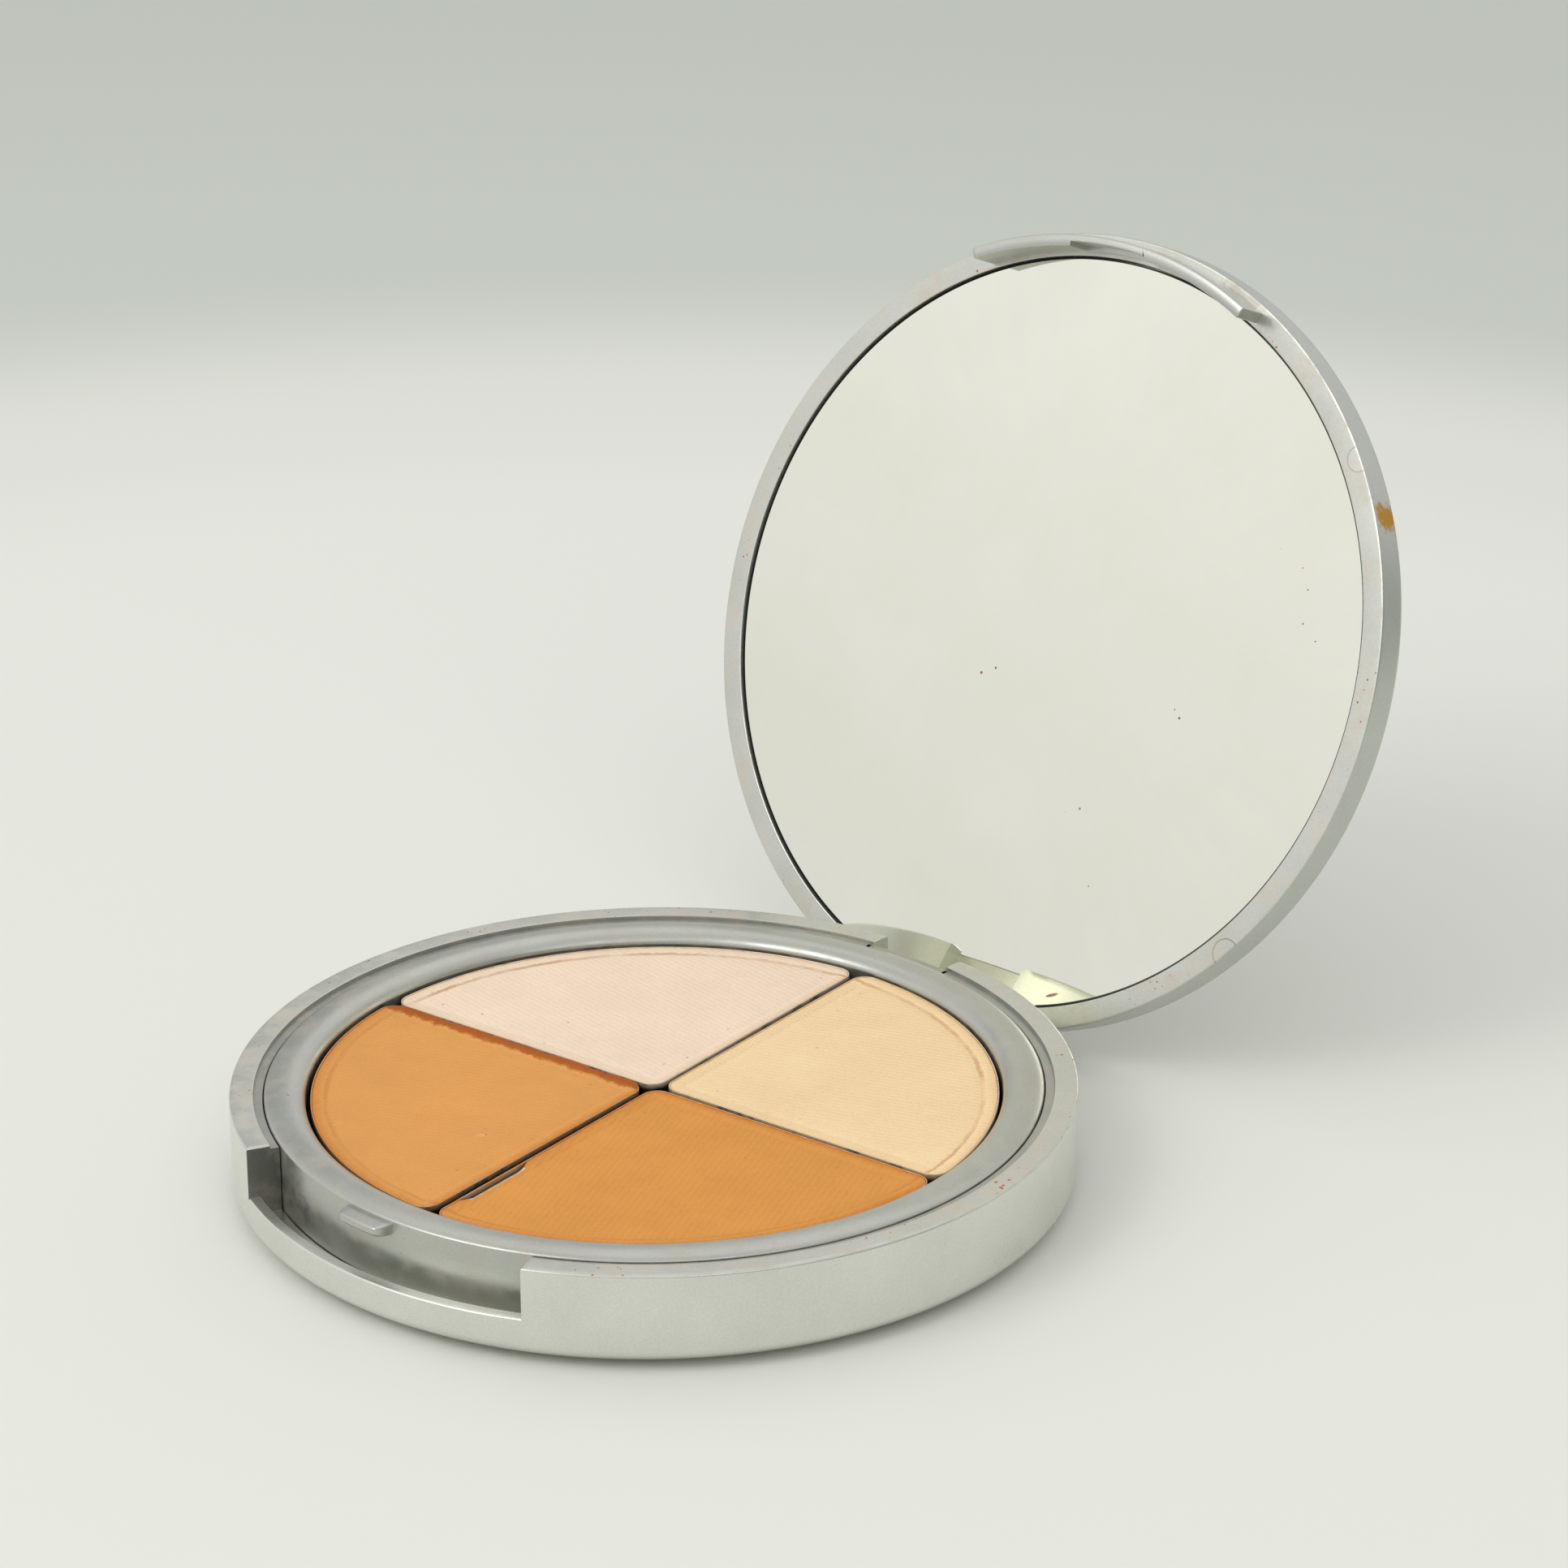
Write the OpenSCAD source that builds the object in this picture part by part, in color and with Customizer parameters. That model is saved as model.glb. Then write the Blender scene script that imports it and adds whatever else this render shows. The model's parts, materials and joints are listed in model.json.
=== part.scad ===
// Round hinged powder compact, standing open.
// The origin is the centre of the base's flat underside: +Z up, +Y towards the hinge, -Y towards
// the thumb notch. The lid is drawn shut and then swung open about the hinge axis.

/* [Case] */
// Outside diameter of the round case
case_d = 74; // [62:0.5:90]
// Height of the base from the table to its rim
base_h = 8.9; // [7.4:0.1:11]
// Height of the lid from its land to its outer face
lid_h = 3.85; // [3.2:0.05:4.8]
// Thickness of the base's outer wall
wall_t = 2.9; // [2.4:0.05:3.5]
// Width of the flat land on the rim of both halves
land_w = 2.1; // [1.7:0.05:2.3]
// Thickness of the base's floor
floor_t = 1.4; // [1:0.1:1.7]
// Radius of the lid's rounded outer edge
edge_r = 1; // [0.5:0.1:1.2]
// Width of the rounding under the base's outer edge
foot_w = 5; // [1:0.1:6]
// Height of the rounding under the base's outer edge
foot_h = 1.9; // [1:0.1:2.2]
// Gap between the two lands when the lid is shut
land_gap = 0.15; // [0.1:0.05:0.3]
// Depth of the step between the base's land and the inner frame
step_d = 0.35; // [0.2:0.05:0.6]

/* [Hinge] */
// Angle from shut to fully open
open_angle = 112.5; // [100:0.5:120]
// Height of the open lid's lowest edge above the table
lid_clear = 0.12; // [0.1:0.02:0.6]
// Width of the lid's hinge lug
lug_w = 8.4; // [6:0.2:11]
// Thickness of the lug's material round its bore
lug_skin = 0.55; // [0.45:0.05:0.7]
// Diameter of the hinge pin
pin_d = 1; // [0.8:0.1:1.3]
// Length of pin held in the wall on each side of the lug
pin_bite = 2.2; // [1.5:0.1:3]
// Radial running clearance of the pin in the lug
run_gap = 0.05; // [0.03:0.01:0.09]
// Gap on each side of the lug and behind it
lug_gap = 0.15; // [0.1:0.05:0.3]
// Gap between the knuckle and the bridge over it
bridge_gap = 0.3; // [0.2:0.05:0.5]
// Gap left between the lug and its stop on the sill when the lid is open
stop_gap = 0.05; // [0.03:0.01:0.1]

/* [Thumb notch and catch] */
// Half the angle that the thumb notch spans round the front
notch_half = 26.15; // [18:0.05:34]
// Angle that the notch's centre is turned from the front towards the left
notch_turn = 0.75; // [0:0.05:3]
// Angle left free at each end of the lid's skirt
skirt_play = 0.75; // [0.4:0.05:1.2]
// Height of the lid's skirt below its land
skirt_h = 3.3; // [2.6:0.1:4.2]
// Thickness of the lid's skirt
skirt_t = 1.1; // [0.9:0.05:1.4]
// How far the skirt's outer face is set in from the case's side
skirt_inset = 0.6; // [0.4:0.05:0.8]
// Gap between the skirt's lower edge and the notch's lip
lip_gap = 1.5; // [0.3:0.1:2]
// Thickness of the notch's lip
lip_t = 1.1; // [0.8:0.05:1.6]
// Depth of the slot behind the lip
slot_d = 1.6; // [0.8:0.1:2]
// Width of the catch ledge
catch_w = 5.6; // [3:0.2:8]
// Offset of the catch ledge's centre to the left
catch_shift = 1; // [0:0.1:2]
// How far the catch ledge stands out from the inner frame
catch_out = 1.5; // [1.2:0.05:1.6]
// Height of the catch ledge
catch_h = 0.9; // [0.6:0.05:1.2]
// Gap between the catch ledge and its pocket in the skirt
catch_gap = 0.2; // [0.15:0.05:0.3]
// Room on each side of the catch ledge in its pocket
catch_side = 1.4; // [0.5:0.1:2]

/* [Window frame] */
// Width of the rolled bezel from the inner frame's skirt to the window
bezel_w = 3.6; // [2.8:0.1:4.5]
// Height of the bezel's crest above the rim
crest_h = 0.15; // [0:0.05:0.25]
// Depth of the window's edge below the rim
window_drop = 0.95; // [0.7:0.05:1.6]
// Thickness of the inner frame's walls and tray floor
frame_t = 1.1; // [0.8:0.05:1.3]
// Gap between the inner frame and the base's wall
frame_gap = 0.1; // [0.05:0.05:0.2]
// Air gap under the tray floor
tray_gap = 0.8; // [0.4:0.1:1.2]

/* [Powder pans] */
// Depth of the pans' rims below the case's rim
pan_drop = 0.95; // [0.7:0.05:1.2]
// Thickness of the pans' metal
pan_t = 0.3; // [0.2:0.05:0.4]
// Radius of the pans' corners
pan_corner = 1.5; // [1:0.1:3]
// Radial gap between the pans and the window
pan_gap = 0.7; // [0.7:0.05:1.2]
// Distance of each straight side from the pan's own centre line
side_gap = 0.3; // [0.3:0.05:0.6]
// Depth of the powder below the pans' rims
powder_drop = 0.1; // [0.05:0.05:0.3]
// Thickness of the adhesive under each pan
glue_t = 0.25; // [0.15:0.05:0.4]
// Margin between a pan's outline and its adhesive
glue_margin = 3; // [2:0.5:5]

/* [Mirror] */
// Thickness of the mirror's glass
mirror_t = 1.2; // [0.9:0.05:1.4]
// Depth of the mirror's face below the lid's land
mirror_drop = 0.4; // [0.3:0.05:0.6]
// Gap between the mirror and the lid's land
mirror_gap = 0.15; // [0.1:0.05:0.25]
// Thickness of the foam adhesive disc behind the mirror
pad_t = 0.8; // [0.5:0.05:0.9]
// Margin between the mirror's edge and the adhesive disc
pad_margin = 2.5; // [1:0.5:6]

/* [Underside] */
// Diameter of the fine moulded ring under the base
ring_d = 54; // [40:1:58]
// Width of the moulded ring's groove
ring_w = 0.6; // [0.4:0.1:1]
// Depth of the moulded ring's groove
ring_depth = 0.25; // [0.1:0.05:0.4]

/* [Hidden] */
$fn = 120;

// How each pan was laid in by hand: its offset from the centre and its turn.
// The order goes round from the back right: yellow, pink, tan, brown.
pan_shift = [[0.05, 0.19], [0.33, -0.17], [-0.4, -0.05], [-0.4, 0.26]];
pan_turn = [4.3, 4.7, 4.3, 4.5];
// How much further each pan's arc reaches than the smallest one's.
pan_grow = [0, 0.6, 0, 0.65];

case_r = case_d / 2;
wall_r = case_r - wall_t;
land_r = case_r - land_w;
frame_r = wall_r - frame_gap;
window_r = frame_r - bezel_w;

// The hinge axis sits as close to the inner frame as the lug's round end allows, and high enough
// for the open lid's rounded edge to clear the table.
lug_r = pin_d / 2 + run_gap + lug_skin;
hinge_y = frame_r + lug_gap + lug_r;
hinge_inset = case_r - hinge_y;
land_z = base_h + land_gap;
hinge_z = (lid_clear + edge_r + (hinge_inset - edge_r) * sin(open_angle)
           - (land_z + lid_h - edge_r) * cos(open_angle)) / (1 - cos(open_angle));
sill_z = hinge_z - hinge_inset * (sin(open_angle) - tan(open_angle / 2) * cos(open_angle)) - stop_gap;
hinge_slot_w = lug_w + 2 * lug_gap;
bridge_z = hinge_z + lug_r + bridge_gap;
pin_len = hinge_slot_w + 2 * pin_bite;

lip_z = land_z - skirt_h - lip_gap;
slot_z = max(floor_t, lip_z - slot_d);
skirt_r = case_r - skirt_inset;
catch_r = frame_r + catch_out;
catch_top = base_h - step_d - catch_gap;

tray_z = floor_t + tray_gap;
pan_z = tray_z + frame_t + glue_t;
pan_top = base_h - pan_drop;
pan_h = pan_top - pan_z;
pan_r = window_r - pan_gap;
mirror_r = land_r - mirror_gap;
seat_z = land_z + mirror_drop + mirror_t + pad_t;

// Points along part of an ellipse, from angle a0 to a1.
function curve(cx, cz, rx, rz, a0, a1, steps) =
    [for (i = [0:steps]) let (a = a0 + (a1 - a0) * i / steps) [cx + rx * cos(a), cz + rz * sin(a)]];

// Part of a ring, centred on the thumb notch.
module front_ring(r_in, r_out, z_low, z_high, half) {
    rotate([0, 0, 270 - notch_turn - half])
        rotate_extrude(angle = 2 * half)
            translate([r_in, z_low])
                square([r_out - r_in, z_high - z_low]);
}

// Swings what is drawn shut to the open position.
module swing_open() {
    translate([0, hinge_y, hinge_z])
        rotate([-open_angle, 0, 0])
            translate([0, -hinge_y, -hinge_z])
                children();
}

// The hinge axis as a rod along X.
module hinge_rod(radius, x_low, x_high) {
    translate([x_low, hinge_y, hinge_z])
        rotate([0, 90, 0])
            cylinder(r = radius, h = x_high - x_low);
}

module base_shell() {
    chamfer = 0.15;
    profile = concat(
        [[0, 0]],
        curve(case_r - foot_w, foot_h, foot_w, foot_h, -90, 0, 8),
        [[case_r, base_h - chamfer], [case_r - chamfer, base_h], [land_r + chamfer / 2, base_h],
         [land_r, base_h - chamfer / 2], [land_r, base_h - step_d], [wall_r, base_h - step_d],
         [wall_r, floor_t], [0, floor_t]]);
    relief_r = base_h - hinge_z;
    color("silver")
    difference() {
        rotate_extrude() polygon(profile);
        // Thumb notch, and the slot behind its lip
        front_ring(wall_r - 1, case_r + 1, lip_z, base_h + 1, notch_half);
        front_ring(wall_r - 1, case_r - lip_t, slot_z, base_h, notch_half);
        // Hinge notch, whose floor is the stop for the open lid. A bridge stays over the knuckle.
        difference() {
            translate([-hinge_slot_w / 2, frame_r - 2, sill_z])
                cube([hinge_slot_w, wall_t + 4, base_h]);
            translate([0, 0, bridge_z]) cylinder(r = land_r, h = base_h);
        }
        // Rounding of the rim round the hinge axis, which lets the lid's land swing past
        difference() {
            translate([-case_r, hinge_y, hinge_z])
                cube([case_d, hinge_inset + 1, relief_r + 1]);
            hinge_rod(relief_r, -case_r - 1, case_r + 1);
        }
        // Pin bore, blind on the left and open through the wall on the right
        hinge_rod(pin_d / 2, -pin_len / 2, case_r);
        // Fine moulded ring under the base
        translate([0, 0, -1])
            difference() {
                cylinder(d = ring_d, h = 1 + ring_depth);
                translate([0, 0, -1]) cylinder(d = ring_d - 2 * ring_w, h = 3);
            }
    }
}

module inner_frame() {
    crest_r = window_r + 0.52 * bezel_w;
    roof_z = base_h - window_drop - frame_t;
    profile = concat(
        [[0, tray_z], [window_r + frame_t, tray_z], [window_r + frame_t, roof_z],
         [frame_r - frame_t, roof_z], [frame_r - frame_t, floor_t], [frame_r, floor_t]],
        curve(crest_r, base_h - step_d, frame_r - crest_r, step_d + crest_h, 0, 90, 8),
        curve(crest_r, base_h - window_drop, crest_r - window_r, window_drop + crest_h, 100, 180, 8),
        [[window_r, tray_z + frame_t], [0, tray_z + frame_t]]);
    ledge = [[frame_r - frame_t / 2, catch_top - catch_h], [catch_r - 0.4, catch_top - catch_h],
             [catch_r, catch_top - catch_h / 2], [catch_r, catch_top - 0.2],
             [catch_r - 0.2, catch_top], [frame_r - frame_t / 2, catch_top]];
    color("lightgray") {
        rotate_extrude() polygon(profile);
        intersection() {
            rotate_extrude() polygon(ledge);
            translate([-catch_shift - catch_w / 2, -case_r, 0]) cube([catch_w, case_r, base_h]);
        }
    }
}

// A quarter disc with three rounded corners: radius r, straight sides at distance g, corners rc.
module quarter(r, g, rc) {
    cy = g + rc;
    cx = sqrt(pow(r - rc, 2) - pow(cy, 2));
    t = atan2(cy, cx);
    difference() {
        intersection() {
            circle(r);
            translate([g, g]) square(r);
        }
        difference() {
            translate([g - 1, g - 1]) square(rc + 1);
            translate([cy, cy]) circle(rc);
        }
        for (flip = [0, 1])
            mirror([flip, -flip])
                difference() {
                    polygon([[cx, cy], [cx, g - 1], [r + 1, g - 1], [(r + 1) * cos(t), (r + 1) * sin(t)]]);
                    translate([cx, cy]) circle(rc);
                }
    }
}

// Puts a piece drawn in the first quarter into place i.
module in_place(i, z) {
    translate([pan_shift[i].x, pan_shift[i].y, z])
        rotate([0, 0, 90 * i + pan_turn[i]])
            children();
}

module glue(i) {
    color("dimgray")
    in_place(i, tray_z + frame_t)
        linear_extrude(glue_t) quarter(pan_r - glue_margin, side_gap + glue_margin, pan_corner);
}

module pan(i) {
    color("gainsboro")
    in_place(i, pan_z)
        difference() {
            linear_extrude(pan_h) quarter(pan_r + pan_grow[i], side_gap, pan_corner);
            translate([0, 0, pan_t])
                linear_extrude(pan_h)
                    quarter(pan_r + pan_grow[i] - pan_t, side_gap + pan_t, pan_corner - pan_t);
        }
}

module powder(i, shade) {
    color(shade)
    in_place(i, pan_z + pan_t)
        linear_extrude(pan_h - pan_t - powder_drop)
            quarter(pan_r + pan_grow[i] - pan_t, side_gap + pan_t, pan_corner - pan_t);
}

module hinge_pin() {
    color("gray") hinge_rod(pin_d / 2, -pin_len / 2, pin_len / 2);
}

module lid_shell() {
    chamfer = 0.15;
    top_z = land_z + lid_h;
    profile = concat(
        [[0, seat_z], [land_r, seat_z], [land_r, land_z + chamfer / 2], [land_r + chamfer / 2, land_z],
         [case_r - chamfer, land_z], [case_r, land_z + chamfer]],
        curve(case_r - edge_r, top_z - edge_r, edge_r, edge_r, 0, 90, 6),
        [[0, top_z]]);
    skirt_half = notch_half - skirt_play;
    color("silver")
    swing_open() {
        difference() {
            union() {
                rotate_extrude() polygon(profile);
                // Skirt that fills the thumb notch
                front_ring(skirt_r - skirt_t, skirt_r, land_z - skirt_h, land_z + 0.5, skirt_half);
                // Hinge lug: a web behind the bridge down to the axis, with a round knuckle
                intersection() {
                    cylinder(r = case_r, h = top_z);
                    translate([-lug_w / 2, land_r + lug_gap, hinge_z])
                        cube([lug_w, land_w, land_z + 0.5 - hinge_z]);
                }
                hinge_rod(lug_r, -lug_w / 2, lug_w / 2);
            }
            // Seat of the mirror, cut clean of the lug's root
            translate([0, 0, land_z]) cylinder(r = land_r, h = seat_z - land_z);
            // Running bore for the pin
            hinge_rod(pin_d / 2 + run_gap, -lug_w / 2 - 1, lug_w / 2 + 1);
            // Pocket for the catch ledge, open at the skirt's lower edge
            intersection() {
                cylinder(r = catch_r + catch_gap, h = catch_top + catch_gap);
                translate([-catch_shift - catch_w / 2 - catch_side, -case_r, 0])
                    cube([catch_w + 2 * catch_side, case_r / 2, catch_top + catch_gap]);
            }
        }
    }
}

module mirror_pad() {
    color("white")
    swing_open()
        translate([0, 0, seat_z - pad_t]) cylinder(r = mirror_r - pad_margin, h = pad_t);
}

module mirror_glass() {
    color("lightblue")
    swing_open()
        translate([0, 0, land_z + mirror_drop]) cylinder(r = mirror_r, h = mirror_t);
}

base_shell();
inner_frame();
glue(0);  // glue_yellow
glue(1);  // glue_pink
glue(2);  // glue_tan
glue(3);  // glue_brown
pan(0);  // pan_yellow
pan(1);  // pan_pink
pan(2);  // pan_tan
pan(3);  // pan_brown
powder(0, "moccasin");  // powder_yellow
powder(1, "antiquewhite");  // powder_pink
powder(2, "sandybrown");  // powder_tan
powder(3, "peru");  // powder_brown
hinge_pin();
lid_shell();
mirror_pad();
mirror_glass();
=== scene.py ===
"""Round hinged powder compact, standing open: a silver case, four quarter-round pressed powders and a
mirror in the lid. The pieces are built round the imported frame, in metres, with the lid at its stop."""

import json
import math

import bmesh
import bpy
from mathutils import Matrix, Vector, noise


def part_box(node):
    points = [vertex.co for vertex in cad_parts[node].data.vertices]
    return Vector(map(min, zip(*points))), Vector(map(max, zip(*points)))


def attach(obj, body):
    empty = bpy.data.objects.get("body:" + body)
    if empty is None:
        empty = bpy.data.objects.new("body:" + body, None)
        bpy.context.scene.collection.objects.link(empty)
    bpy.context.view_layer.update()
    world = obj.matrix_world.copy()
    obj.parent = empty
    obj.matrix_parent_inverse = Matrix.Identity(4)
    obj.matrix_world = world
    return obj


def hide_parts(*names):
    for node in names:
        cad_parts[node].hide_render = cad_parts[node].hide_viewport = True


bl_info = {
    "name": "Powder compact",
    "version": (1, 0, 0),
    "blender": (4, 5, 0),
    "location": "3D View > Sidebar > Compact",
    "description": "Builds an open powder compact with four pressed powders and a mirror",
    "category": "Add Mesh",
}

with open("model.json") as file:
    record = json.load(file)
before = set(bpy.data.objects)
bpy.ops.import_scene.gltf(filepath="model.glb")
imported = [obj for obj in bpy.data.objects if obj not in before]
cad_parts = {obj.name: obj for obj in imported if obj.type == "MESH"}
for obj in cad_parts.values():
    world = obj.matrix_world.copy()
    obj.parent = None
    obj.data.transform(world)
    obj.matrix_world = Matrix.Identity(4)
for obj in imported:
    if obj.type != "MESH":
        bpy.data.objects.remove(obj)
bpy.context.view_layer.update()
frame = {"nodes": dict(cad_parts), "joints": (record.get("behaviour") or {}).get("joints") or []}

MM = 0.001
HINGE = frame["joints"][0]
PIVOT = Vector(HINGE["pos_m"])
OPEN = math.radians(HINGE["range_deg"][1])
SHELL_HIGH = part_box("base_shell")[1]
TRAY_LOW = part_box("inner_frame")[0]
PAN_LOW, PAN_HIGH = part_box("pan_pink")
POWDER_LOW, POWDER_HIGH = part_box("powder_pink")

# Sizes that nothing else depends on.
UNDER_TRAY = 0.8 * MM
PAD_T = 0.8 * MM
GROOVE_R, GROOVE_W, GROOVE_D = 26.4 * MM, 0.6 * MM, 0.25 * MM
EASE = 0.12 * MM
LEDGE_DROP, LEDGE_T, LEDGE_END = 0.2 * MM, 0.9 * MM, 0.9 * MM
POCKET_SIDE, POCKET_D, POCKET_TOP = 1.4 * MM, 0.42 * MM, 8.55 * MM
LUG_HALF, KNUCKLE_R = 4.2 * MM, 1.1 * MM
LUG_STEPS = 12
ROUND_STEPS = 288
CHIP_X = 22.5 * MM


def linear(code):
    """An sRGB hex colour as linear red, green and blue."""
    parts = [int(code[i:i + 2], 16) / 255 for i in (1, 3, 5)]
    return tuple(c / 12.92 if c <= 0.04045 else ((c + 0.055) / 1.055) ** 2.4 for c in parts)


# ---- sizes and colours

def length(label, text, value):
    """A size in millimetres, shown in the scene's own unit."""
    return bpy.props.FloatProperty(name=label, description=text, default=value * MM, min=0, unit="LENGTH",
                                   precision=5)


def angle(label, text, value):
    return bpy.props.FloatProperty(name=label, description=text, default=math.radians(value), subtype="ANGLE")


def colour(label, text, code):
    return bpy.props.FloatVectorProperty(name=label, description=text, subtype="COLOR", size=3, min=0, max=1,
                                         default=linear(code))


class CompactSizes(bpy.types.PropertyGroup):
    """Sizes of the case, the window and the powders"""
    case_r: length("Case radius", "Outside radius of both halves", SHELL_HIGH.x / MM)
    base_h: length("Base height", "Height of the base's rim above the table", SHELL_HIGH.z / MM)
    floor_t: length("Floor thickness", "Thickness of the base's floor", TRAY_LOW.z / MM)
    wall_t: length("Wall thickness", "Thickness of the base's wall", 2.9)
    land_w: length("Land width", "Width of the flat land on both rims", 2.1)
    edge_r: length("Edge rounding", "Radius of the lid's outer edge", 1.0)
    foot_w: length("Foot width", "Width of the rounding under the base's outer edge", 5.0)
    foot_h: length("Foot height", "Height of the rounding under the base's outer edge", 1.9)
    step_d: length("Rim step", "Drop from the base's land to the inner frame", 0.35)
    lip_z: length("Notch lip", "Height of the thumb notch's lip above the table", 4.25)
    lip_t: length("Lip thickness", "Thickness of the notch's lip", 1.1)
    slot_z: length("Slot floor", "Height of the floor of the slot behind the lip", 2.65)
    notch_half: angle("Thumb notch", "Half the angle that the thumb notch spans", 26.15)
    notch_turn: angle("Notch turn", "Angle that the notch's centre is turned towards the left", 0.75)
    skirt_play: angle("Skirt play", "Angle left free at each end of the lid's skirt", 0.75)
    ledge_w: length("Catch width", "Width of the catch ledge", 5.6)
    ledge_shift: length("Catch offset", "Offset of the catch's centre to the left", 1.0)
    hinge_half: length("Hinge notch", "Half the width of the hinge notch", 4.35)
    sill_z: length("Hinge sill", "Height of the hinge notch's floor", 1.93)
    bridge_z: length("Bridge underside", "Height of the underside of the bridge over the knuckle", 6.0)
    relief_r: length("Rim relief", "Radius about the hinge that the rear rim is rounded to", 4.295)
    frame_r: length("Frame radius", "Outside radius of the inner frame", 34.0)
    window_r: length("Window radius", "Radius of the window over the powders", 30.4)
    crest_h: length("Bezel crest", "Height of the bezel's crest above the rim", 0.15)
    window_drop: length("Window drop", "Depth of the window's edge below the rim", 0.95)
    tray_t: length("Tray thickness", "Thickness of the tray and the frame's walls", 1.1)
    pan_r: length("Pan radius", "Radius of the quarter pans", 29.7)
    pan_t: length("Pan metal", "Thickness of the pans' metal", 0.3)
    side_gap: length("Pan gap", "Distance of each straight side from the pan's centre line", 0.3)
    pan_corner: length("Pan corner", "Radius of the pans' corners", 1.5)
    land_z: length("Lid land", "Height of the lid's land when shut", 9.05)
    lid_h: length("Lid height", "Height of the lid from its land to its outer face", 3.85)
    skirt_h: length("Skirt height", "Height of the lid's skirt below its land", 3.3)
    skirt_out: length("Skirt radius", "Radius of the skirt's outer face", 36.4)
    skirt_t: length("Skirt thickness", "Thickness of the lid's skirt", 1.1)
    mirror_t: length("Mirror thickness", "Thickness of the mirror's glass", 1.2)
    mirror_drop: length("Mirror depth", "Depth of the mirror's face below the lid's land", 0.4)
    mirror_gap: length("Mirror gap", "Gap between the mirror and the lid's land", 0.15)


class CompactColours(bpy.types.PropertyGroup):
    """Colours of the lacquer and the powders"""
    silver: colour("Silver lacquer", "Colour of the lacquered case", "#D6D8D0")
    dust: colour("Loose powder", "Powder dust on the case", "#B0683A")
    pink: colour("Pink powder", "Pale pink cake", "#FAE3CA")
    yellow: colour("Yellow powder", "Pale yellow cake", "#FFDFB1")
    tan: colour("Tan powder", "Orange tan cake", "#E9A65D")
    brown: colour("Brown powder", "Golden brown cake", "#E59E50")
    floor: colour("Floor", "Paper under the compact", "#E9EAE3")
    # The far floor's darker colour is painted light falloff away from the compact.
    backdrop: colour("Far floor", "Paper away from the compact", "#C6CBC3")


# ---- modelling helpers

def arc(cx, cz, rx, rz, a0, a1, steps):
    """Points along part of an ellipse, from angle a0 to a1 in degrees."""
    turns = [math.radians(a0 + (a1 - a0) * i / steps) for i in range(steps + 1)]
    return [(cx + rx * math.cos(t), cz + rz * math.sin(t)) for t in turns]


def turned(bm, outline, start, sweep, steps, closed=False):
    """Turns an outline of (radius, height) points about the Z axis, from angle start through sweep."""
    whole = abs(sweep) >= 360
    ring = [bm.verts.new((r * math.cos(start), r * math.sin(start), z)) for r, z in outline]
    pairs = list(zip(ring, ring[1:] + ring[:1])) if closed else list(zip(ring, ring[1:]))
    edges = [bm.edges.new(p) for p in pairs]
    made = bmesh.ops.spin(bm, geom=ring + edges, cent=(0, 0, 0), axis=(0, 0, 1), dvec=(0, 0, 0), steps=steps,
                          angle=math.radians(360) if whole else sweep, use_merge=whole)
    if closed and not whole:
        last = [e for e in made["geom_last"] if isinstance(e, bmesh.types.BMEdge)]
        bmesh.ops.contextual_create(bm, geom=edges)
        bmesh.ops.contextual_create(bm, geom=last)


def settle(bm):
    """Merges what lies together and turns every face outwards."""
    bmesh.ops.remove_doubles(bm, verts=bm.verts, dist=2e-6)
    bmesh.ops.dissolve_degenerate(bm, edges=bm.edges, dist=1e-6)
    bmesh.ops.recalc_face_normals(bm, faces=bm.faces)


def cut(bm, point, normal, keep):
    """Cuts new edges along a plane, only through the faces whose middle passes keep()."""
    faces = [f for f in bm.faces if keep(f.calc_center_median())]
    geom = set(faces)
    for f in faces:
        geom.update(f.edges)
        geom.update(f.verts)
    bmesh.ops.bisect_plane(bm, geom=list(geom), dist=1e-7, plane_co=point, plane_no=normal)


def add_part(bm, part):
    """Adds a finished part's mesh to a piece."""
    mesh = bpy.data.meshes.new("part")
    part.to_mesh(mesh)
    part.free()
    bm.from_mesh(mesh)
    bpy.data.meshes.remove(mesh)


def ease(bm, picked):
    """Bevels the sharp edges whose two ends pass picked()."""
    edges = [e for e in bm.edges if len(e.link_faces) == 2 and e.calc_face_angle(0) > 1.2
             and all(picked(v.co) for v in e.verts)]
    bmesh.ops.bevel(bm, geom=edges, offset=EASE, offset_type="OFFSET", affect="EDGES", segments=3, profile=0.5,
                    material=-1, clamp_overlap=True)


def piece(name, bm, materials, body, replaces=(), sharp=32, weighted=True):
    """Makes the finished piece, which rides on a body and takes the place of CAD nodes."""
    mesh = bpy.data.meshes.new(name)
    bm.to_mesh(mesh)
    bm.free()
    mesh.validate()
    mesh.shade_smooth()
    mesh.set_sharp_from_angle(angle=math.radians(sharp))
    for m in materials:
        mesh.materials.append(m)
    made = bpy.data.objects.new(name, mesh)
    bpy.context.scene.collection.objects.link(made)
    if weighted:
        normals = made.modifiers.new("Even shading", "WEIGHTED_NORMAL")
        normals.keep_sharp = True
        normals.weight = 60
    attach(made, body)
    if replaces:
        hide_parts(*replaces)
    return made


def swing(bm):
    """Swings what is drawn shut to the open position."""
    bmesh.ops.rotate(bm, verts=bm.verts, cent=PIVOT, matrix=Matrix.Rotation(-OPEN, 3, "X"))


def swung(point):
    return PIVOT + Matrix.Rotation(-OPEN, 3, "X") @ (Vector(point) - PIVOT)


# ---- finishes

GLASS_IOR = 1.52


def feed(tree, made, inputs):
    """Gives a node's inputs values or links."""
    for name, value in dict(inputs).items():
        if isinstance(value, bpy.types.NodeSocket):
            tree.links.new(value, made.inputs[name])
        else:
            made.inputs[name].default_value = value


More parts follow.
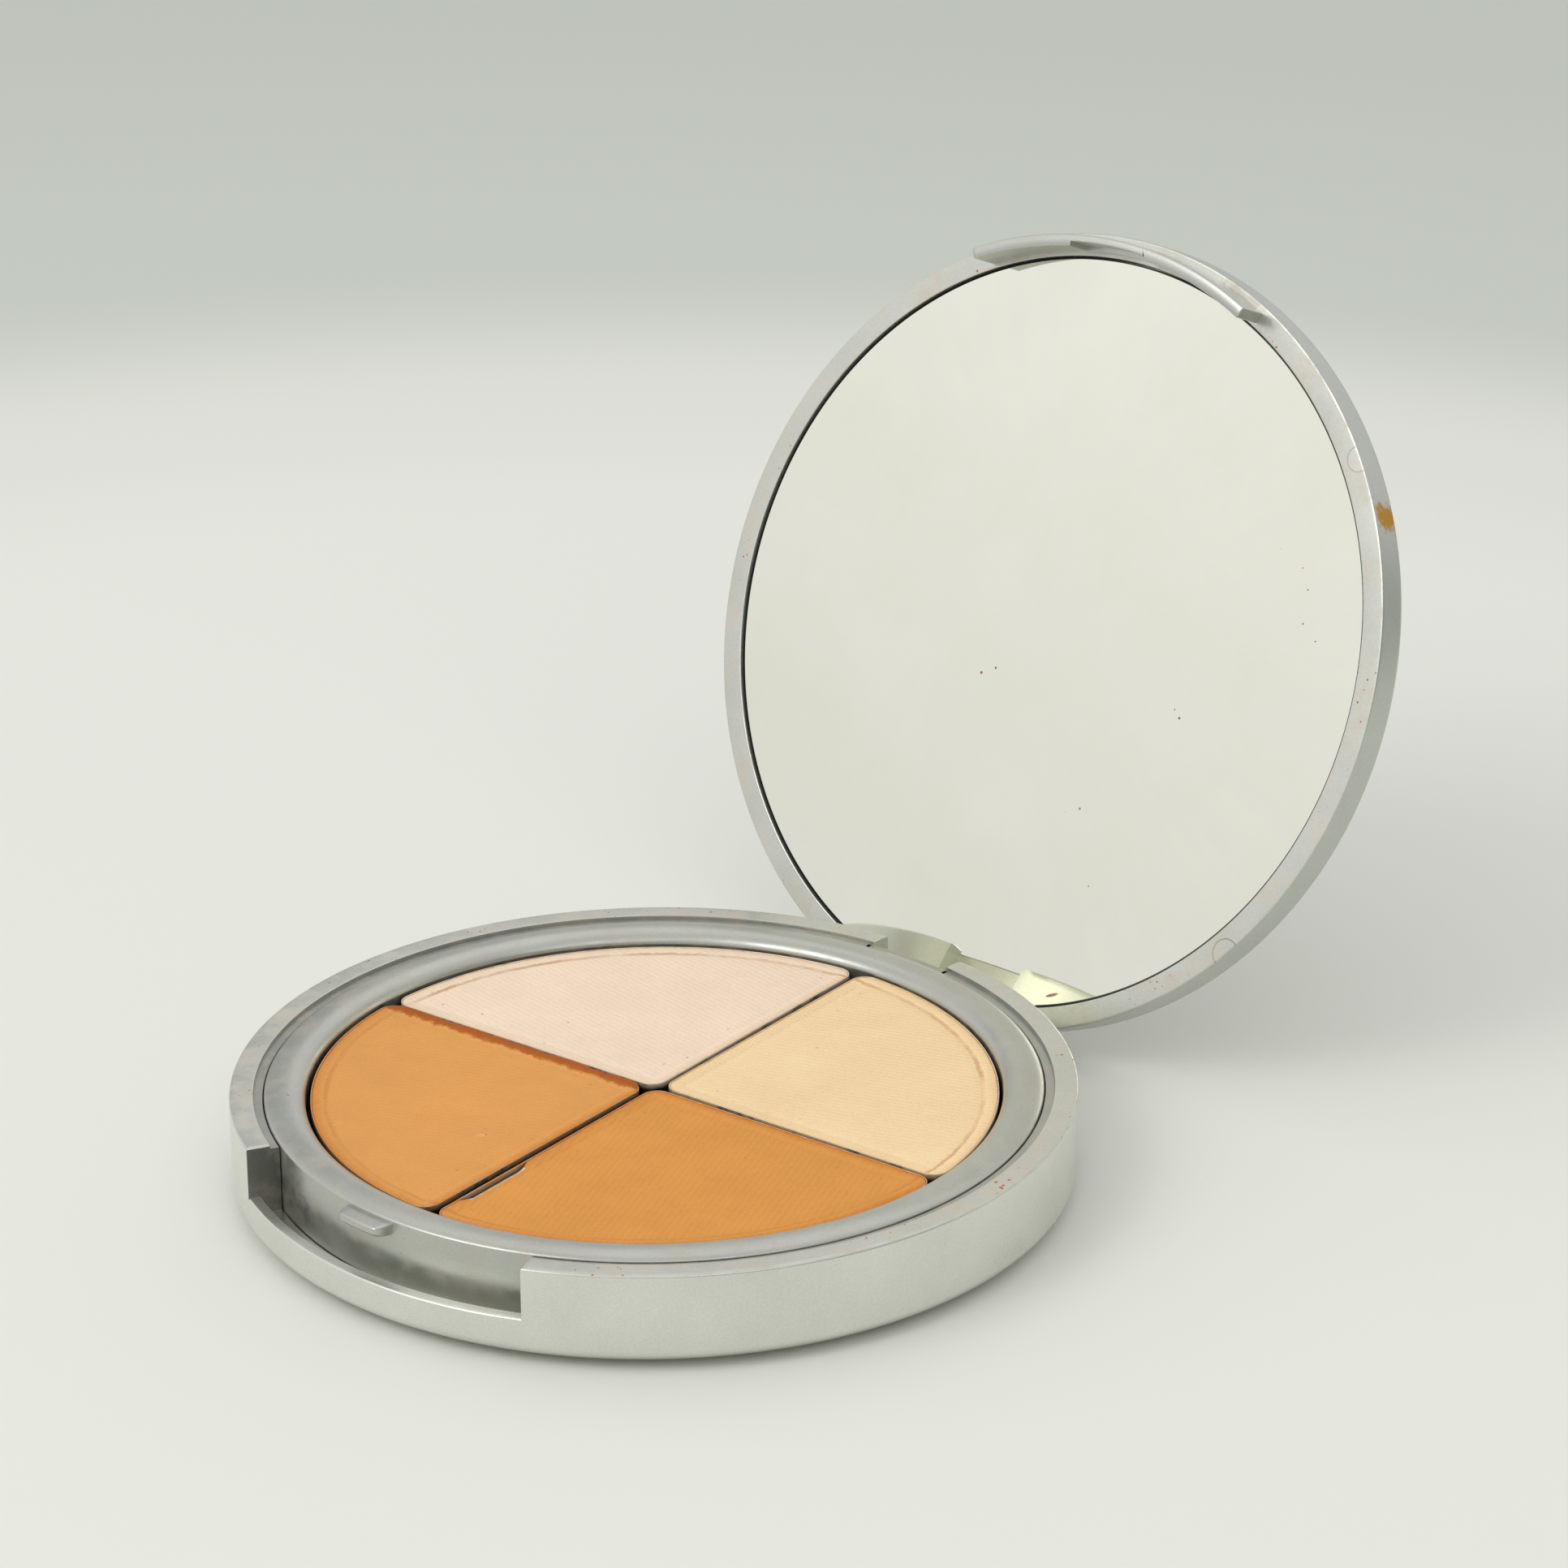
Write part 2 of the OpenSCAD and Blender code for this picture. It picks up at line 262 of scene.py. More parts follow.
def node(tree, kind, inputs=(), stops=(), **settings):
    """Adds a node with its settings and inputs, and a colour ramp's stops."""
    made = tree.nodes.new("ShaderNode" + kind)
    for name, value in settings.items():
        setattr(made, name, value)
    feed(tree, made, inputs)
    for i, (place, shade) in enumerate(stops):
        ramp_stops = made.color_ramp.elements
        stop = ramp_stops[i] if i < 2 else ramp_stops.new(place)
        stop.position = place
        stop.color = (*shade, 1) if isinstance(shade, tuple) else (shade, shade, shade, 1)
    return made


def calc(tree, operation, *values):
    return node(tree, "Math", dict(enumerate(values)), operation=operation).outputs[0]


def gauge(tree, operation, *vectors):
    """A number measured from vectors, such as a length."""
    return node(tree, "VectorMath", dict(enumerate(vectors)), operation=operation).outputs["Value"]


def cloudy(tree, where, grain, detail=2, roughness=0.5):
    """Noise with features about one grain across."""
    return node(tree, "TexNoise", {"Vector": where, "Scale": 1 / grain, "Detail": detail,
                                   "Roughness": roughness}).outputs["Fac"]


def cells(tree, where, size):
    """Distance to the nearest of points scattered about one size apart."""
    return node(tree, "TexVoronoi", {"Vector": where, "Scale": 1 / size, "Randomness": 1.0}).outputs["Distance"]


def ramp(tree, factor, *stops):
    """Colours or greys between stops of (place, shade)."""
    return node(tree, "ValToRGB", {"Fac": factor}, stops).outputs["Color"]


def spread(tree, value, low, high, start=0.0, end=1.0):
    """Runs from low to high while value runs from start to end."""
    return node(tree, "MapRange", {"Value": value, "From Min": start, "From Max": end, "To Min": low,
                                   "To Max": high}).outputs["Result"]


def mix(tree, factor, under, over, **how):
    return node(tree, "Mix", {0: factor, 6: under, 7: over}, data_type="RGBA", **how).outputs[2]


def times(tree, under, over, factor=1.0):
    return mix(tree, factor, under, over, blend_type="MULTIPLY")


def towards(tree, factor, start, end):
    """A number that goes from start to end with factor."""
    return node(tree, "Mix", {0: factor, 2: start, 3: end}, data_type="FLOAT").outputs[0]


def local_to(tree, where, spot=(0, 0, 0), turn=(0, 0, 0), size=(1, 1, 1)):
    """Coordinates about a spot, in its own turn and size."""
    return node(tree, "Mapping", {"Vector": where, "Location": spot, "Rotation": turn, "Scale": size},
                vector_type="TEXTURE").outputs["Vector"]


def stretched(tree, where, scale):
    return node(tree, "Mapping", {"Vector": where, "Scale": scale}).outputs["Vector"]


def finish(name):
    """A new material: its tree, its shader and the piece's own coordinates."""
    made = bpy.data.materials.new(name)
    made.use_nodes = True
    tree = made.node_tree
    place = node(tree, "TexCoord").outputs["Object"]
    return made, tree, tree.nodes["Principled BSDF"], place


def dress(tree, shader, body, rough, height=None, strength=0.0, depth=0.0):
    """Gives a shader its colour and roughness, and a bump from height."""
    feed(tree, shader, {"Base Color": body, "Roughness": rough})
    if height is not None:
        bump = node(tree, "Bump", {"Height": height, "Strength": strength, "Distance": depth})
        feed(tree, shader, {"Normal": bump.outputs["Normal"]})


def rgb(values, scale=1.0):
    return tuple(min(1.0, c * scale) for c in values)


def rgba(values, scale=1.0):
    return (*rgb(values, scale), 1)


def silver_lacquer(name, shades, dusty=0.0, marks=(), smear=None, tint=1.0):
    """Lacquered case. dusty is how much loose powder lies on it, marks are moulding marks, and tint scales the
    lacquer's colour: painted light above 1, painted shade below 1.
    """
    # Aluminium-flake lacquer sprayed on injection-moulded ABS and left satin. Flakes a tenth of a
    # millimetre across give a soft broad reflection with a fine sparkle, over a faint orange peel.
    made, tree, shader, place = finish(name)
    silver, metal = shades.silver, 0.9
    cloud = cloudy(tree, place, 9 * MM, 3, 0.55)
    flakes = cloudy(tree, place, 0.16 * MM, 2, 0.7)
    peel = cloudy(tree, place, 0.7 * MM)
    # tint scales the lacquer's colour: above 1 it is painted light, below 1 painted shade.
    tone = ramp(tree, cloud, (0.3, rgb(silver, 0.94 * tint)), (0.7, rgb(silver, 1.03 * tint)))
    glint = ramp(tree, flakes, (0.34, 0.9), (0.68, 1.0))
    body = times(tree, tone, glint)
    rough = spread(tree, cloud, 0.24, 0.33)
    height = calc(tree, "ADD", calc(tree, "MULTIPLY", flakes, 0.25), peel)
    grime, ragged = None, peel
    if dusty:
        # Loose talc and pigment: brown specks a tenth to a quarter of a millimetre across in loose
        # drifts, and thin beige smears where fingers wiped them along the rim.
        drift = cloudy(tree, place, 7 * MM, 4, 0.6)
        ragged = cloudy(tree, place, 2.6 * MM, 5, 0.65)
        near = ramp(tree, drift, (0.46, 0.0), (0.7, 0.23 * dusty))
        speck = calc(tree, "LESS_THAN", cells(tree, place, 0.75 * MM), near)
        film = ramp(tree, ragged, (0.45, 0.0), (0.72, 0.5 * dusty))
        body = mix(tree, film, body, rgba(linear("#C9B79E")))
        body = mix(tree, speck, body, rgba(shades.dust))
        grime = calc(tree, "MAXIMUM", speck, film)
    for spot, across in marks:
        # A crescent left by an ejector pin: a shallow dished disc with a raised burr round it.
        part = calc(tree, "DIVIDE", gauge(tree, "DISTANCE", place, spot), across)
        dish = ramp(tree, part, (0.0, 0.2), (0.78, 0.0), (0.88, 1.0), (0.94, 0.9), (1.0, 0.5))
        height = calc(tree, "MULTIPLY_ADD", dish, 9.0, height)
        body = times(tree, body, ramp(tree, part, (0.0, 1.0), (0.8, 1.0), (0.87, 0.55), (0.93, 1.0)))
    if smear:
        # A dab of orange cream dragged up the wall and dried.
        away = gauge(tree, "LENGTH", local_to(tree, place, *smear))
        dab = ramp(tree, calc(tree, "MULTIPLY_ADD", ragged, 0.9, away), (0.0, 1.0), (0.72, 1.0), (1.0, 0.0))
        body = mix(tree, dab, body, rgba(linear("#C08A2C")))
        grime = dab if grime is None else calc(tree, "MAXIMUM", dab, grime)
    if grime is not None:
        metal = spread(tree, grime, metal, 0.0)
        rough = towards(tree, grime, rough, 0.85)
    feed(tree, shader, {"Metallic": metal})
    dress(tree, shader, body, rough, height, 0.2, 0.006 * MM)
    return made


def pressed_powder(name, shade, spot, sizes, rim=0.93, streak=0.0, crumb=None, ring=None, specks=0.3,
                   weave=17, line=0.4, chip=None):
    """Pressed cake. spot is the pan's (x, y, turn, extra reach), crumb is a crushed strip's
    (reach from one side, tint), and chip a chip's (middle, half length) along that side."""
    # Talc, mica and pigment stamped into the pan under a woven cloth: matt and chalky, with the
    # cloth's thread marks, fine pores, and a denser and darker border where the stamp's edge bit.
    made, tree, shader, place = finish(name)
    x, y, turn, extra = spot
    local = local_to(tree, place, (x, y, 0), (0, 0, turn))
    flat = node(tree, "VectorMath", {0: local, 1: (1, 1, 0)}, operation="MULTIPLY").outputs["Vector"]
    sides = node(tree, "SeparateXYZ", {"Vector": local}).outputs
    from_arc = calc(tree, "SUBTRACT", sizes.pan_r + extra - sizes.pan_t, gauge(tree, "LENGTH", flat))
    inner = sizes.side_gap + sizes.pan_t
    from_x = calc(tree, "SUBTRACT", sides["X"], inner)
    from_y = calc(tree, "SUBTRACT", sides["Y"], inner)
    nearest = calc(tree, "MINIMUM", calc(tree, "MINIMUM", from_x, from_y), from_arc)
    grain = cloudy(tree, place, 0.22 * MM, 3, 0.7)
    blotch = cloudy(tree, place, 8 * MM, 5, 0.62)
    crumbs = cloudy(tree, place, 1.1 * MM, 4, 0.7)
    tone = ramp(tree, blotch, (0.3, rgb(shade, 0.96 - streak)), (0.7, rgb(shade, 1.03)))
    body = times(tree, tone, ramp(tree, grain, (0.32, 0.93), (0.62, 1.0)))
    # The border, a millimetre and a half wide, with a ragged inner edge.
    wander = calc(tree, "MULTIPLY_ADD", crumbs, 0.9 * MM, nearest)
    edge = spread(tree, wander, 0.0, 1.0, 0.5 * MM, 1.2 * MM)
    border = ramp(tree, edge, (0.0, tuple(rim ** power for power in (0.5, 1.4, 2.4))), (1.0, 1.0))
    body = times(tree, body, border)
    # The line where the stamp's edge pressed loose darker pigment into the cake, inside the arc.
    track = calc(tree, "MULTIPLY_ADD", crumbs, -0.5 * MM, from_arc)
    track = spread(tree, track, 0.0, 1.0, 0.3 * MM, 1.3 * MM)
    pressed = ramp(tree, track, (0.25, 0.0), (0.42, 1.0), (0.62, 1.0), (0.8, 0.0))
    broken = spread(tree, blotch, 0.2, 1.0, 0.4, 0.6)
    mark = calc(tree, "MULTIPLY", calc(tree, "MULTIPLY", pressed, broken), line)
    body = mix(tree, mark, body, rgba(linear("#B9763C")))
    # Pores and coarse pigment grains.
    pore = ramp(tree, cells(tree, flat, 2.4 * MM), (0.03, 0.0), (0.055, 1.0))
    body = times(tree, body, pore, specks)
    # The cloth's threads, the weft coarser than the warp.
    threads = []
    for across, pitch in ((weave, 0.6 * MM), (weave + 90, 0.35 * MM)):
        lie = local_to(tree, flat, turn=(0, 0, math.radians(across)))
        threads.append(node(tree, "TexWave", {"Vector": lie, "Scale": 0.314 / pitch, "Distortion": 1.2,
                                              "Detail": 2, "Detail Scale": 0.4},
                            wave_type="BANDS", bands_direction="Y", wave_profile="SIN").outputs["Fac"])
    cloth = calc(tree, "MULTIPLY_ADD", threads[1], 0.35, threads[0])
    height = calc(tree, "MULTIPLY_ADD", cloth, 0.8, grain)
    height = calc(tree, "MULTIPLY_ADD", pore, 1.5, height)
    if crumb:
        # A crushed strip along the side that a brush or finger runs over.
        reach, tint = crumb
        rag = calc(tree, "MULTIPLY_ADD", crumbs, 1.3 * MM, from_y)
        strip = spread(tree, rag, 0.0, 1.0, reach + 0.45 * MM, reach + 0.75 * MM)
        body = times(tree, body, ramp(tree, strip, (0.0, tint), (1.0, 1.0)))
        rubble = calc(tree, "MULTIPLY", calc(tree, "SUBTRACT", 1.0, strip), crumbs)
        height = calc(tree, "MULTIPLY_ADD", rubble, 9.0, height)
    if chip:
        # Where the cake's side is chipped, the pan's bare tinplate shows pale.
        along = calc(tree, "ABSOLUTE", calc(tree, "SUBTRACT", sides["X"], chip[0]))
        within = calc(tree, "LESS_THAN", along, chip[1])
        low = calc(tree, "LESS_THAN", calc(tree, "MULTIPLY_ADD", crumbs, 0.5 * MM, from_y), 0.72 * MM)
        body = mix(tree, calc(tree, "MULTIPLY", within, low), body, rgba(linear("#D8CFBC")))
    if ring:
        # A round dent with a pale rubbed rim.
        part = calc(tree, "DIVIDE", gauge(tree, "DISTANCE", flat, ring), 0.5 * MM)
        rubbed = ramp(tree, part, (0.0, 0.25), (0.55, 0.35), (0.78, 1.0), (1.0, 0.0))
        body = mix(tree, rubbed, body, rgba(linear("#F3BE7C")))
        height = calc(tree, "MULTIPLY_ADD", rubbed, 3.0, height)
    feed(tree, shader, {"Specular IOR Level": 0.2})
    dress(tree, shader, body, spread(tree, grain, 0.82, 0.98), height, 0.8, 0.04 * MM)
    return made


def pan_metal(name, shade):
    """Pan metal, dusted along its rim with the powder it holds."""
    # Tinplate 0.3 mm thick, deep drawn: bright, with fine upright draw lines and powder in the rim.
    made, tree, shader, place = finish(name)
    drawn = cloudy(tree, stretched(tree, place, (1, 1, 0.06)), 0.12 * MM)
    dust = ramp(tree, cloudy(tree, place, 1.4 * MM, 4, 0.65), (0.34, 0.25), (0.5, 0.95))
    up = node(tree, "SeparateXYZ", {"Vector": place}).outputs["Z"]
    # Below the rim the tinplate is painted darker towards the bottom: painted shade down in the gaps between the
    # pans.
    painted_depth_shade = spread(tree, up, 0.04, 1.0, PAN_HIGH.z - 0.55 * MM, PAN_HIGH.z - 0.06 * MM)
    body = times(tree, mix(tree, dust, rgba(linear("#BDB9B0")), rgba(shade, 0.8)), painted_depth_shade)
    feed(tree, shader, {"Metallic": spread(tree, dust, 1.0, 0.1)})
    dress(tree, shader, body, spread(tree, drawn, 0.22, 0.5), drawn, 0.3, 0.01 * MM)
    return made


def mirror_face(name, spots, smudge):
    """Face of the mirror, with grains of powder near the given points."""
    # Float glass silvered on its back: a clear sharp reflection under a faint second one from the
    # glass itself, with a few grains of powder and a greasy touch of pigment by the hinge.
    made, tree, shader, place = finish(name)
    haze = cloudy(tree, place, 14 * MM, 4, 0.6)
    group = None
    for spot, reach in spots:
        near = spread(tree, gauge(tree, "DISTANCE", place, spot), 0.17, 0.0, 0.0, reach)
        group = near if group is None else calc(tree, "MAXIMUM", group, near)
    speck = calc(tree, "LESS_THAN", cells(tree, place, 1.15 * MM), group)
    for touch in smudge:
        dab = ramp(tree, gauge(tree, "LENGTH", local_to(tree, place, *touch)), (0.6, 0.85), (1.0, 0.0))
        speck = calc(tree, "MAXIMUM", speck, dab)
    clear = ramp(tree, haze, (0.3, linear("#F0F0DF")), (0.7, linear("#F5F5E5")))
    body = mix(tree, speck, clear, rgba(linear("#9A5E30")))
    feed(tree, shader, {"Metallic": spread(tree, speck, 1.0, 0.0), "Coat Weight": 0.6, "Coat Roughness": 0.01,
                        "Coat IOR": GLASS_IOR})
    dress(tree, shader, body, towards(tree, speck, spread(tree, haze, 0.0, 0.035), 0.8))
    return made


def ground_glass(name):
    # The mirror's cut edge, ground on a belt: grey green, matt and finely pitted.
    made, tree, shader, place = finish(name)
    pits = cloudy(tree, place, 0.15 * MM, 3, 0.6)
    tone = ramp(tree, pits, (0.3, linear("#3E4640")), (0.7, linear("#6A746C")))
    feed(tree, shader, {"IOR": GLASS_IOR})
    dress(tree, shader, tone, spread(tree, pits, 0.25, 0.5), pits, 0.4, 0.02 * MM)
    return made


def steel_pin(name):
    # Drawn steel wire, nickel plated: bright, with fine lines along its length.
    made, tree, shader, place = finish(name)
    lines = cloudy(tree, stretched(tree, place, (0.05, 1, 1)), 0.1 * MM)
    tone = ramp(tree, lines, (0.3, linear("#9C9A94")), (0.7, linear("#C6C4BC")))
    feed(tree, shader, {"Metallic": 1.0})
    dress(tree, shader, tone, spread(tree, lines, 0.2, 0.38), lines, 0.3, 0.005 * MM)
    return made


def foam(name, dark, light, cell):
    # Closed-cell adhesive foam: matt, with small round cells showing at its cut edge.
    made, tree, shader, place = finish(name)
    bubbles = cells(tree, place, cell)
    tone = ramp(tree, bubbles, (0.1, dark), (0.6, light))
    dress(tree, shader, tone, spread(tree, bubbles, 0.95, 0.75), bubbles, 0.6, 0.1 * MM)
    return made


def seamless_paper(name, near, far):
    # Matt white paper sweep with a very fine tooth. Its colour is painted darker away from the compact: painted
    # light falloff, pale in front and darker behind.
    made, tree, shader, place = finish(name)
    painted_falloff = ramp(tree, gauge(tree, "LENGTH", place), (0.0, rgb(near)), (0.17, rgb(near)), (0.215, rgb(near, 0.95)),
                (0.275, rgb(far, 1.05)), (0.42, rgb(far)), (0.9, rgb(far, 0.94)))
    painted_falloff.node.color_ramp.interpolation = "EASE"
    tooth = cloudy(tree, place, 0.4 * MM)
    feed(tree, shader, {"Specular IOR Level": 0.25})
    dress(tree, shader, painted_falloff, spread(tree, tooth, 0.88, 0.96), tooth, 0.1, 0.01 * MM)
    return made


# ---- the base

# How far past a notch's edge the rounding of the rim runs, and where it is cut.
ROUNDING = 0.2 * MM
ROUNDING_CUTS = (0.0, 0.015 * MM, 0.05 * MM, 0.11 * MM, ROUNDING)


def rounded_drop(past):
    """Drop of a rounded edge at a distance past the notch it borders."""
    inside = ROUNDING - min(max(past, 0), ROUNDING)
    return ROUNDING - math.sqrt(max(ROUNDING ** 2 - inside ** 2, 0))


def lower(bm, past, floor, top_z, inner_r):
    """Lowers the wall to floor(radius) where past() is negative, and rounds the rim beside that."""
    for v in bm.verts:
        if math.hypot(v.co.x, v.co.y) < inner_r:
            continue
        beyond = past(v.co)
        if beyond <= -1e-6:
            v.co.z = min(v.co.z, floor(v.co.xy.length))
        elif beyond < ROUNDING:
            v.co.z = min(v.co.z, top_z - rounded_drop(beyond))


class BuildBase(bpy.types.Operator):
    """Builds the lower half of the case"""
    bl_idname = "compact.base"
    bl_label = "Base shell"

    def execute(self, context):
        s, shades = context.scene.compact_sizes, context.scene.compact_colours
        wall_r, land_r, top = s.case_r - s.wall_t, s.case_r - s.land_w, s.base_h
        groove = [(GROOVE_R, 0), (GROOVE_R + 0.05 * MM, GROOVE_D), (GROOVE_R + GROOVE_W - 0.05 * MM, GROOVE_D),
                  (GROOVE_R + GROOVE_W, 0)]
        outline = [(0, 0)] + groove + arc(s.case_r - s.foot_w, s.foot_h, s.foot_w, s.foot_h, -90, 0, 16)
        outline += [(s.case_r, z) for z in (s.sill_z, s.lip_z, s.base_h - 2 * MM, top - 0.7 * MM)]
        outline += arc(s.case_r - 0.22 * MM, top - 0.22 * MM, 0.22 * MM, 0.22 * MM, 0, 90, 5)
        slot_r = s.case_r - s.lip_t
        outline += [(s.case_r - 0.6 * MM, top), (slot_r + 0.06 * MM, top), (slot_r, top), (slot_r - 0.02 * MM, top)]
        outline += [(land_r + 0.12 * MM, top), (land_r + 0.03 * MM, top - 0.03 * MM), (land_r, top - 0.1 * MM)]
        outline += [(land_r, top - s.step_d), (wall_r + 0.04 * MM, top - s.step_d),
                    (wall_r, top - s.step_d - 0.04 * MM), (wall_r, s.lip_z), (wall_r, s.slot_z), (wall_r, s.sill_z),
                    (wall_r, s.floor_t), (0, s.floor_t)]
        bm = bmesh.new()
        turned(bm, outline, 0, math.tau, ROUND_STEPS)
        settle(bm)

        # Edges of the thumb notch at the front, and of the hinge notch at the back.
        def past_thumb(co):
            turn = math.atan2(co.x, -co.y) + s.notch_turn
            return (abs(turn) - s.notch_half) * math.hypot(co.x, co.y) if co.y < 0 else 1

        def notch_floor(r):
            """The notch's floor: a rounded lip, and a slot behind it."""
            if r < slot_r - 0.01 * MM:
                return s.slot_z
            return s.lip_z - (0.06 * MM if r < slot_r + 0.01 * MM else rounded_drop(s.case_r - r))

        def past_hinge(co):
            return abs(co.x) - s.hinge_half if co.y > 0 else 1

        for side in (-1, 1):
            for past in (-0.02 * MM,) + ROUNDING_CUTS:
                turn = side * (s.notch_half + past / s.case_r) - s.notch_turn
                cut(bm, (0, 0, 0), (math.cos(turn), math.sin(turn), 0),
                    lambda c: c.y < 0 and c.x * side > 0 and c.xy.length > wall_r - 1 * MM)
                cut(bm, (side * (s.hinge_half + past), 0, 0), (1, 0, 0),
                    lambda c: c.y > 0 and c.xy.length > wall_r - 1 * MM)
        lower(bm, past_thumb, notch_floor, top, wall_r - 0.5 * MM)
        lower(bm, past_hinge, lambda r: s.sill_z, top, wall_r - 0.5 * MM)
        # The rear rim is rounded about the hinge, so that the lid's land can swing past.
        for v in bm.verts:
            arm = Vector((0, v.co.y - PIVOT.y, v.co.z - PIVOT.z))
            if arm.y > 0 and arm.z > 0 and arm.length > s.relief_r:
                v.co += arm * (s.relief_r / arm.length - 1)
        settle(bm)
        # The bridge: the inner wall, which carries on over the hinge knuckle.
        half = math.asin((s.hinge_half + 0.4 * MM) / land_r)
        high = top - s.step_d
        block = [(wall_r, s.bridge_z), (land_r, s.bridge_z), (land_r, high - 0.15 * MM),
                 (land_r - 0.05 * MM, high - 0.04 * MM), (land_r - 0.15 * MM, high), (wall_r + 0.1 * MM, high),
                 (wall_r, high - 0.08 * MM)]
        bridge = bmesh.new()
        turned(bridge, block, math.pi / 2 - half, 2 * half, 12, closed=True)
        settle(bridge)
        add_part(bm, bridge)
        for f in bm.faces:
            middle = f.calc_center_median()
            r, turn = middle.xy.length, math.atan2(middle.x, -middle.y) + s.notch_turn
            sideways = abs(f.normal.z) < 0.5 and abs(f.normal.xy.dot(middle.xy.normalized())) < 0.3
            if f.normal.z > 0.6 and middle.z > top - 0.25 * MM and r > land_r - 0.3 * MM:
                f.material_index = 1
            # The rim step's faces take a darkened copy of the lacquer: painted shade.
            elif r < land_r + 0.08 * MM and middle.z > top - s.step_d - 0.1 * MM:
                f.material_index = 2
            # The left end faces of the thumb notch take a much darker copy of the lacquer: painted shade.
            elif sideways and abs(turn + s.notch_half) < 0.01 and middle.z < top - 0.1 * MM:
                f.material_index = 3
        # The walls, floor and underside take a brightened copy of the lacquer, tint 1.15: painted light.
        plain = silver_lacquer("silver_flake_lacquer_on_abs", shades, tint=1.15)
        dusted = silver_lacquer("silver_lacquer_dusted_rim", shades, dusty=1.2, tint=1.0)
        # The rim step's lacquer: some dust, and colour darkened by tint 0.66 as painted shade.
        shaded = silver_lacquer("silver_lacquer_rim_step", shades, dusty=0.6, tint=0.66)
        # The notch's end that thumbs rub carries loose pigment specks, and its lacquer is darkened to tint 0.3 as
        # painted shade.
        notch_painted_shade = silver_lacquer("silver_lacquer_stained_notch", shades, dusty=0.9, tint=0.3)
        piece("case_base", bm, [plain, dusted, shaded, notch_painted_shade], "base", ["base_shell"])
        return {"FINISHED"}


class BuildFrame(bpy.types.Operator):
    """Builds the inner frame with its rolled bezel and the catch ledge"""
    bl_idname = "compact.window"
    bl_label = "Window frame"

    def execute(self, context):
        s, shades = context.scene.compact_sizes, context.scene.compact_colours
        top, tray_top = s.base_h, TRAY_LOW.z + UNDER_TRAY + s.tray_t
        bezel = s.frame_r - s.window_r
        crest_r = s.window_r + 0.52 * bezel
        roof = top - s.window_drop - s.tray_t
        wall_in, wall_out = s.window_r + s.tray_t, s.frame_r - s.tray_t
        outline = [(0, tray_top - s.tray_t), (wall_in, tray_top - s.tray_t), (wall_in, roof), (wall_out, roof),
                   (wall_out, s.floor_t), (s.frame_r, s.floor_t), (s.frame_r, s.lip_z)]
        outline += arc(crest_r, top - s.step_d, s.frame_r - crest_r, s.step_d + s.crest_h, 0, 90, 16)
        outline += arc(crest_r, top - s.window_drop, crest_r - s.window_r, s.window_drop + s.crest_h, 96, 180,
                       18)
        outline += [(s.window_r, tray_top + 0.2 * MM), (s.window_r - 0.2 * MM, tray_top), (0, tray_top)]
        bm = bmesh.new()
        turned(bm, outline, 0, math.tau, ROUND_STEPS)
        settle(bm)
        # Catch ledge: a flat-topped bar with round ends, standing out into the thumb notch.
        ledge_top = top - s.step_d - LEDGE_DROP
        inner, outer = s.frame_r - 0.4 * MM, s.frame_r + 1.5 * MM
        low = ledge_top - LEDGE_T
        bar = [(inner, low), (outer - 0.3 * MM, low), (outer, low + 0.3 * MM)]
        bar += arc(outer - 0.25 * MM, ledge_top - 0.25 * MM, 0.25 * MM, 0.25 * MM, 0, 90, 4)
        bar.append((inner, ledge_top))
        ledge = bmesh.new()
        half, middle = s.ledge_w / 2 / outer, s.ledge_shift / outer
        turned(ledge, bar, -math.pi / 2 - middle - half, 2 * half, 24, closed=True)
        # The ends draw in to a half round.
        for v in ledge.verts:
            turn = math.atan2(v.co.x, -v.co.y) + middle
            left = LEDGE_END - (half - abs(turn)) * outer
            if left > 0:
                r = v.co.xy.length
                v.co.xy *= (inner + (r - inner) * math.sqrt(max(1 - (left / LEDGE_END) ** 2, 0.04))) / r
        settle(ledge)
        add_part(bm, ledge)
        # The bezel's lacquer: some loose dust, and colour darkened by tint 0.8 as painted shade.
        piece("window_frame", bm, [silver_lacquer("silver_lacquer_bezel", shades, dusty=0.5, tint=0.8)],
              "base", ["inner_frame"])
        return {"FINISHED"}


# ---- pans and powders

# How each pan was laid in: its name, its offset in millimetres, its turn in degrees, and how many
# millimetres further its arc reaches than the smallest one's.
PANS = (("yellow", 0.05, 0.19, 4.3, 0.25), ("pink", 0.33, -0.17, 94.7, 0.6),
        ("tan", -0.4, -0.05, 184.3, 0), ("brown", -0.4, 0.26, 274.5, 0.65))
# A small round dent in the tan cake, in the cake's own quarter.
RING_MARK = (5.9 * MM, 16.1 * MM, 0)


def quarter(r, g, rc, fine=1):
    """Points round a quarter disc of radius r, with straight sides at distance g and corners of radius rc."""
    cy = g + rc
    cx = math.sqrt((r - rc) ** 2 - cy ** 2)
    t = math.degrees(math.atan2(cy, cx))
    corners = (arc(cy, cy, rc, rc, 180, 270, 8 * fine), arc(cx, cy, rc, rc, -90, t, 8 * fine),
               arc(0, 0, r, r, t, 90 - t, 60 * fine)[1:-1], arc(cy, cx, rc, rc, 90 - t, 180, 8 * fine))
    points = []
    for i, stretch in enumerate(corners):
        points += stretch
        if i in (0, 3):
            # The straight sides have as many points as the arc, so that they can crumble.
            (x0, y0), (x1, y1) = stretch[-1], corners[(i + 1) % 4][0]
            cuts = 45 * fine
            points += [(x0 + (x1 - x0) * k / cuts, y0 + (y1 - y0) * k / cuts) for k in range(1, cuts)]
    return points


